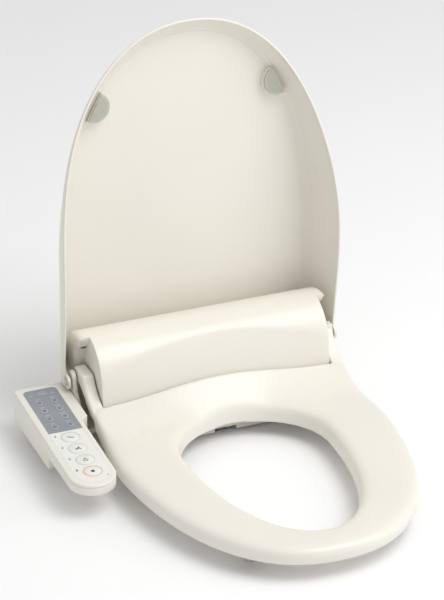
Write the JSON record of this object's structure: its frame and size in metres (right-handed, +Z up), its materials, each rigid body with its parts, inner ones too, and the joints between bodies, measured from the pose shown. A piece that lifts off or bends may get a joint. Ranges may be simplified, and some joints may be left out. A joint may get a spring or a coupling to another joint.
{
  "type": "electric bidet seat",
  "caption": "Electric bidet toilet seat with open lid, heated seat ring, rear water casing with nozzles and a side control arm with keys.",
  "frame": {"origin": "underside of the mounting plate on the bowl's deck, midway between the two fixing bolt slots", "axes": "+Z up, -Y to the front of the toilet, +X to the side away from the control arm"},
  "size_m": [0.4525, 0.529, 0.5389],
  "materials": {
    "ivory_gloss": "glossy ivory moulding",
    "cream_plastic": "satin cream moulding",
    "grey_plastic": "matte grey moulding",
    "black_rubber": "soft black rubber",
    "grey_rubber": "soft grey rubber",
    "pad_rubber": "ribbed grey-green rubber",
    "heater_film": "amber heater film",
    "bush_acetal": "natural acetal",
    "pin_steel": "turned steel",
    "dark_plastic": "matte black moulding",
    "nozzle_steel": "brushed stainless tube",
    "white_plastic": "matte white moulding",
    "board_green": "green circuit board",
    "inlet_brass": "turned brass",
    "membrane_grey": "satin blue-grey film",
    "label_white": "satin white film",
    "lens_clear": "smoked clear lens"
  },
  "bodies": {
    "base": {"base_tray": "cream_plastic", "rear_cover": "ivory_gloss", "control_arm_base": "ivory_gloss", "control_arm_cover": "ivory_gloss", "function_label": "membrane_grey", "key_label": "label_white", "status_lens": "lens_clear", "control_board": "board_green", "mounting_plate": "grey_plastic", "seat_pin_left": "pin_steel", "seat_pin_right": "pin_steel", "lid_pin_left": "pin_steel", "lid_pin_right": "pin_steel", "seat_damper": "dark_plastic", "lid_damper": "dark_plastic", "nozzle_guide": "grey_plastic", "wash_motor": "dark_plastic", "bidet_motor": "dark_plastic", "water_tank": "white_plastic", "tank_heater": "pin_steel", "valve_unit": "dark_plastic", "main_board": "board_green", "water_inlet": "inlet_brass", "inlet_filter": "pin_steel", "power_gland": "black_rubber"},
    "seat": {"seat_top_shell": "ivory_gloss", "seat_bottom_shell": "ivory_gloss", "seat_heater": "heater_film", "seat_bumper_front_left": "grey_rubber", "seat_bumper_front_right": "grey_rubber", "seat_bumper_rear_left": "grey_rubber", "seat_bumper_rear_right": "grey_rubber", "seat_bush_left": "bush_acetal", "seat_bush_right": "bush_acetal"},
    "lid": {"lid_shell": "ivory_gloss", "lid_bumper_left": "pad_rubber", "lid_bumper_right": "pad_rubber"},
    "wash_nozzle": {"wash_nozzle": "nozzle_steel"},
    "bidet_nozzle": {"bidet_nozzle": "nozzle_steel"},
    "wash_pinion": {"wash_pinion": "white_plastic"},
    "bidet_pinion": {"bidet_pinion": "white_plastic"},
    "function_key_1": {"function_key_1": "membrane_grey"},
    "function_key_2": {"function_key_2": "membrane_grey"},
    "function_key_3": {"function_key_3": "membrane_grey"},
    "function_key_4": {"function_key_4": "membrane_grey"},
    "function_key_5": {"function_key_5": "membrane_grey"},
    "function_key_6": {"function_key_6": "membrane_grey"},
    "function_key_7": {"function_key_7": "membrane_grey"},
    "function_key_8": {"function_key_8": "membrane_grey"},
    "dryer_key": {"dryer_key": "label_white"},
    "bidet_key": {"bidet_key": "label_white"},
    "wash_key": {"wash_key": "label_white"},
    "stop_key": {"stop_key": "label_white"},
    "release_button": {"release_button": "grey_plastic"}
  },
  "joints": [
    {"name": "seat_hinge", "type": "hinge", "parent": "base", "child": "seat", "pos_m": [0, -0.017, 0.072], "axis": [-1, 0, 0], "range_deg": [0, 95]},
    {"name": "lid_hinge", "type": "hinge", "parent": "base", "child": "lid", "pos_m": [0, -0.02, 0.063], "axis": [-1, 0, 0], "range_deg": [-99.5, 0]},
    {"name": "wash_nozzle_slide", "type": "slide", "parent": "base", "child": "wash_nozzle", "axis": [0, -0.9135, -0.4067], "range_m": [0, 0.075]},
    {"name": "wash_pinion_spin", "type": "hinge", "parent": "base", "child": "wash_pinion", "pos_m": [-0.007, -0.02245, 0.03608], "axis": [-1, 0, 0], "range_deg": [0, 700]},
    {"name": "bidet_nozzle_slide", "type": "slide", "parent": "base", "child": "bidet_nozzle", "axis": [0, -0.9135, -0.4067], "range_m": [0, 0.075]},
    {"name": "bidet_pinion_spin", "type": "hinge", "parent": "base", "child": "bidet_pinion", "pos_m": [0.007, -0.02245, 0.03608], "axis": [-1, 0, 0], "range_deg": [0, 700]},
    {"name": "function_key_1_press", "type": "slide", "parent": "base", "child": "function_key_1", "axis": [0, 0.0487, -0.9988], "range_m": [0, 0.0009], "stiffness_N_per_m": 600},
    {"name": "function_key_2_press", "type": "slide", "parent": "base", "child": "function_key_2", "axis": [0, 0.0487, -0.9988], "range_m": [0, 0.0009], "stiffness_N_per_m": 600},
    {"name": "function_key_3_press", "type": "slide", "parent": "base", "child": "function_key_3", "axis": [0, 0.0487, -0.9988], "range_m": [0, 0.0009], "stiffness_N_per_m": 600},
    {"name": "function_key_4_press", "type": "slide", "parent": "base", "child": "function_key_4", "axis": [0, 0.0487, -0.9988], "range_m": [0, 0.0009], "stiffness_N_per_m": 600},
    {"name": "function_key_5_press", "type": "slide", "parent": "base", "child": "function_key_5", "axis": [0, 0.0487, -0.9988], "range_m": [0, 0.0009], "stiffness_N_per_m": 600},
    {"name": "function_key_6_press", "type": "slide", "parent": "base", "child": "function_key_6", "axis": [0, 0.0487, -0.9988], "range_m": [0, 0.0009], "stiffness_N_per_m": 600},
    {"name": "function_key_7_press", "type": "slide", "parent": "base", "child": "function_key_7", "axis": [0, 0.0487, -0.9988], "range_m": [0, 0.0009], "stiffness_N_per_m": 600},
    {"name": "function_key_8_press", "type": "slide", "parent": "base", "child": "function_key_8", "axis": [0, 0.0487, -0.9988], "range_m": [0, 0.0009], "stiffness_N_per_m": 600},
    {"name": "dryer_key_press", "type": "slide", "parent": "base", "child": "dryer_key", "axis": [0, 0.0487, -0.9988], "range_m": [0, 0.0009], "stiffness_N_per_m": 600},
    {"name": "bidet_key_press", "type": "slide", "parent": "base", "child": "bidet_key", "axis": [0, 0.0487, -0.9988], "range_m": [0, 0.0009], "stiffness_N_per_m": 600},
    {"name": "wash_key_press", "type": "slide", "parent": "base", "child": "wash_key", "axis": [0, 0.0487, -0.9988], "range_m": [0, 0.0009], "stiffness_N_per_m": 600},
    {"name": "stop_key_press", "type": "slide", "parent": "base", "child": "stop_key", "axis": [0, 0.0487, -0.9988], "range_m": [0, 0.0009], "stiffness_N_per_m": 600},
    {"name": "release_button_press", "type": "slide", "parent": "base", "child": "release_button", "axis": [-1, 0, 0], "range_m": [0, 0.003], "stiffness_N_per_m": 400}
  ],
  "couplings": [
    {"joint": "wash_pinion_spin", "follows": "wash_nozzle_slide", "rad_per_m": 158.73},
    {"joint": "bidet_pinion_spin", "follows": "bidet_nozzle_slide", "rad_per_m": 158.73}
  ]
}
